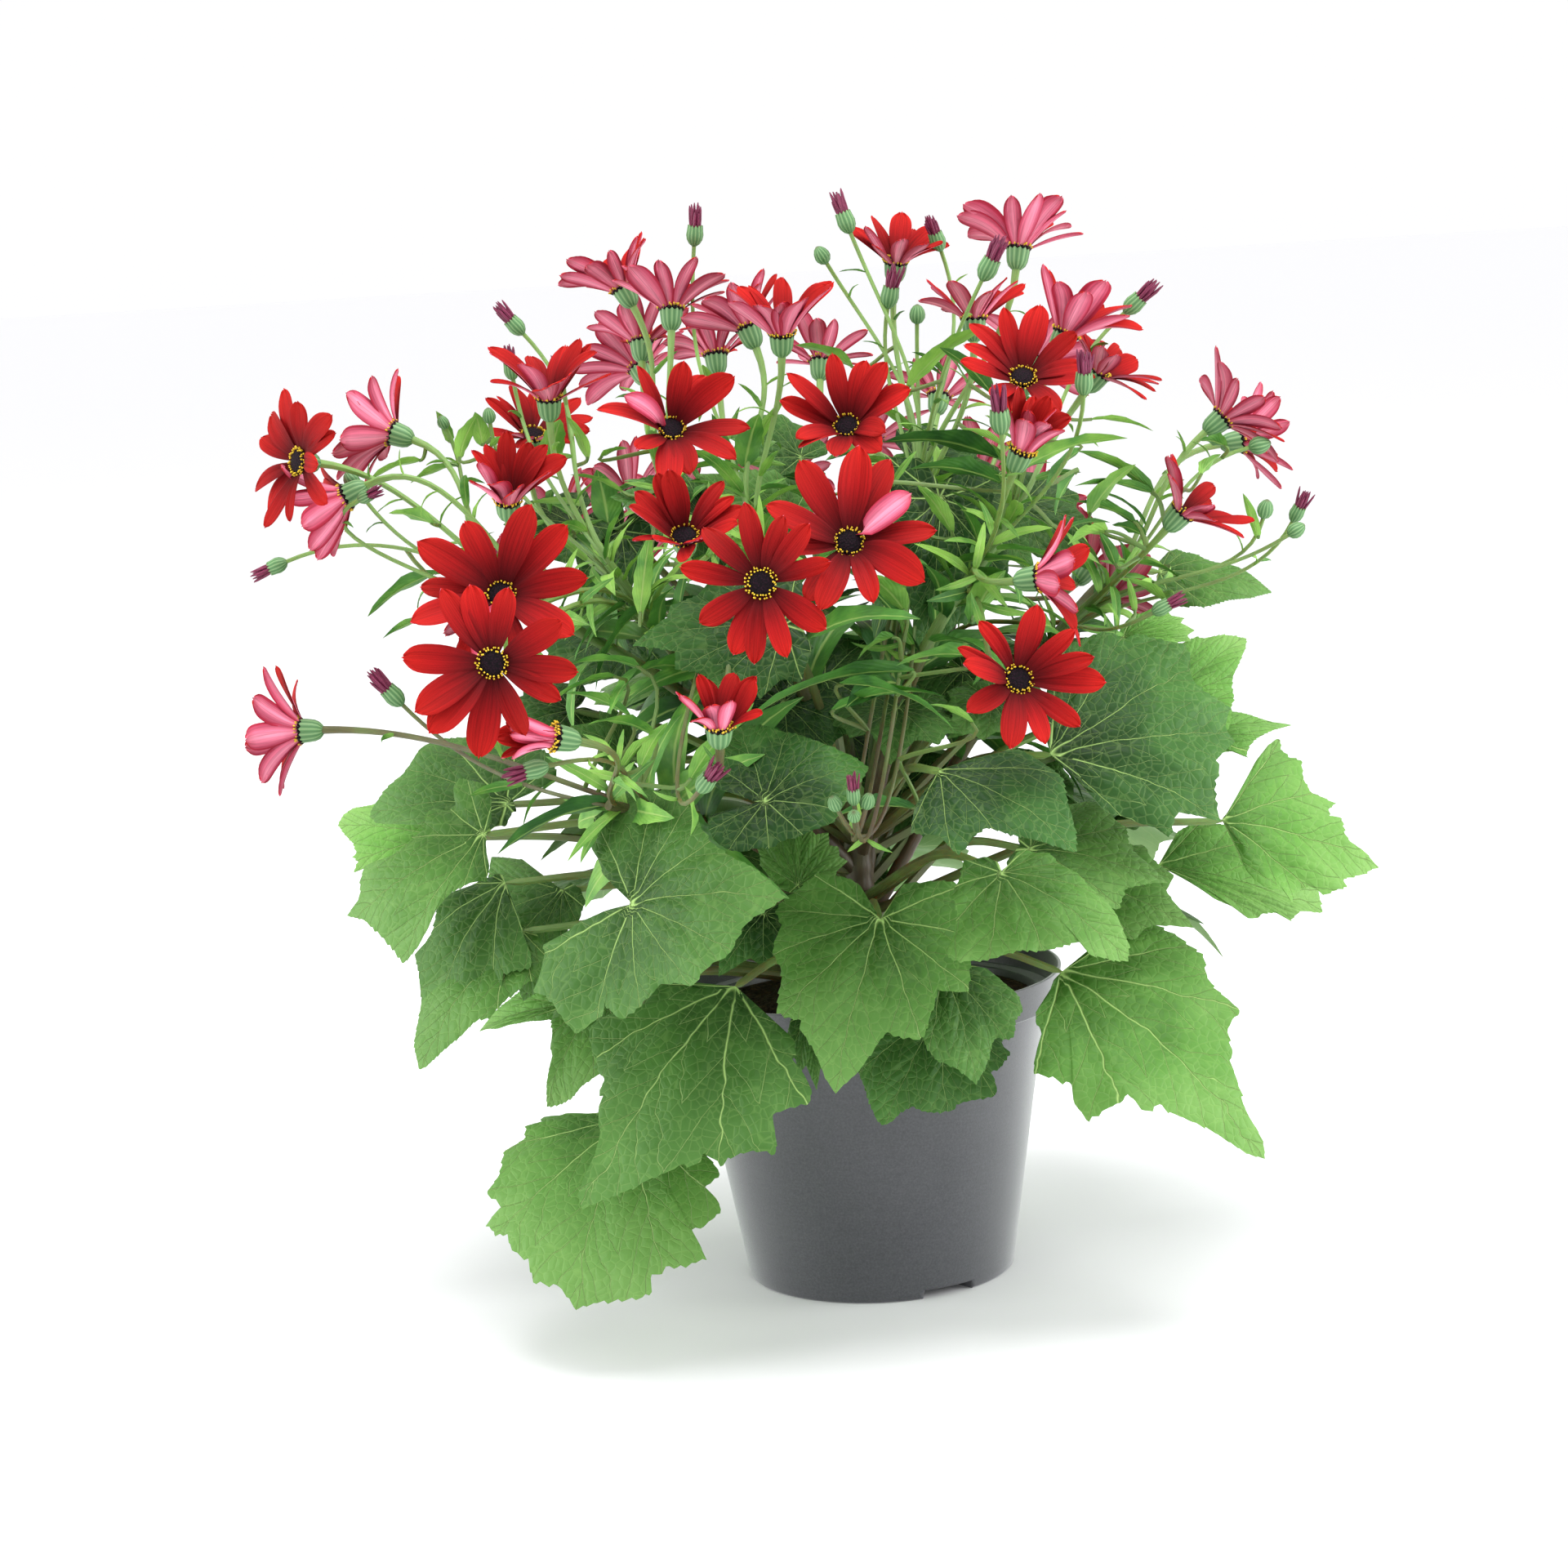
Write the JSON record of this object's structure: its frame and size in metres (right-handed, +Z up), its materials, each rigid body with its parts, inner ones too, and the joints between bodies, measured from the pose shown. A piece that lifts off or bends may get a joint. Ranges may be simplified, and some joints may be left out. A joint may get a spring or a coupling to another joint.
{
  "type": "potted cineraria",
  "caption": "Bushy flowering cineraria in a round tapered grower's pot, with lobed leaves below and daisy flowers above, standing on the pot's foot.",
  "frame": {"origin": "centre of the pot's foot, on the surface that it stands on", "axes": "+Z up along the pot's axis, -Y towards the front that the picture shows, +X to that view's right"},
  "size_m": [0.4696, 0.4268, 0.468],
  "materials": {
    "pot_plastic": "moulded grey polypropylene, satin, faintly speckled",
    "potting_soil": "moist brown peat crumbs, matt",
    "woody_stem": "ribbed stem, green turning brown, satin",
    "green_stem": "soft ribbed green stem, satin",
    "leaf_blade": "quilted green leaf with pale veins, satin above and paler beneath",
    "flower_petal": "velvety red above, striped pink beneath, dark disc"
  },
  "bodies": {
    "root": {"pot": "pot_plastic", "potting_soil": "potting_soil", "main_stem": "woody_stem", "flower_stem_01": "green_stem", "flower_stem_02": "green_stem", "flower_stem_03": "green_stem", "flower_stem_04": "green_stem", "flower_stem_05": "green_stem", "flower_stem_06": "green_stem", "flower_stem_07": "green_stem", "flower_stem_08": "green_stem", "flower_stem_09": "green_stem", "flower_stem_10": "green_stem", "leaf_01": "leaf_blade", "leaf_02": "leaf_blade", "leaf_03": "leaf_blade", "leaf_04": "leaf_blade", "leaf_05": "leaf_blade", "leaf_06": "leaf_blade", "leaf_07": "leaf_blade", "leaf_08": "leaf_blade", "leaf_09": "leaf_blade", "leaf_10": "leaf_blade", "leaf_11": "leaf_blade", "leaf_12": "leaf_blade", "leaf_13": "leaf_blade", "leaf_14": "leaf_blade", "leaf_15": "leaf_blade", "leaf_16": "leaf_blade", "leaf_17": "leaf_blade", "leaf_18": "leaf_blade", "leaf_19": "leaf_blade", "leaf_20": "leaf_blade", "leaf_21": "leaf_blade", "leaf_22": "leaf_blade", "flower_01": "flower_petal", "flower_02": "flower_petal", "flower_03": "flower_petal", "flower_04": "flower_petal", "flower_05": "flower_petal", "flower_06": "flower_petal", "flower_07": "flower_petal", "flower_08": "flower_petal", "flower_09": "flower_petal", "flower_10": "flower_petal", "flower_11": "flower_petal", "flower_12": "flower_petal", "flower_13": "flower_petal", "flower_14": "flower_petal", "flower_15": "flower_petal", "flower_16": "flower_petal", "flower_17": "flower_petal", "flower_18": "flower_petal", "flower_19": "flower_petal", "flower_20": "flower_petal", "flower_21": "flower_petal", "flower_22": "flower_petal", "flower_23": "flower_petal", "flower_24": "flower_petal", "flower_25": "flower_petal"}
  },
  "joints": []
}
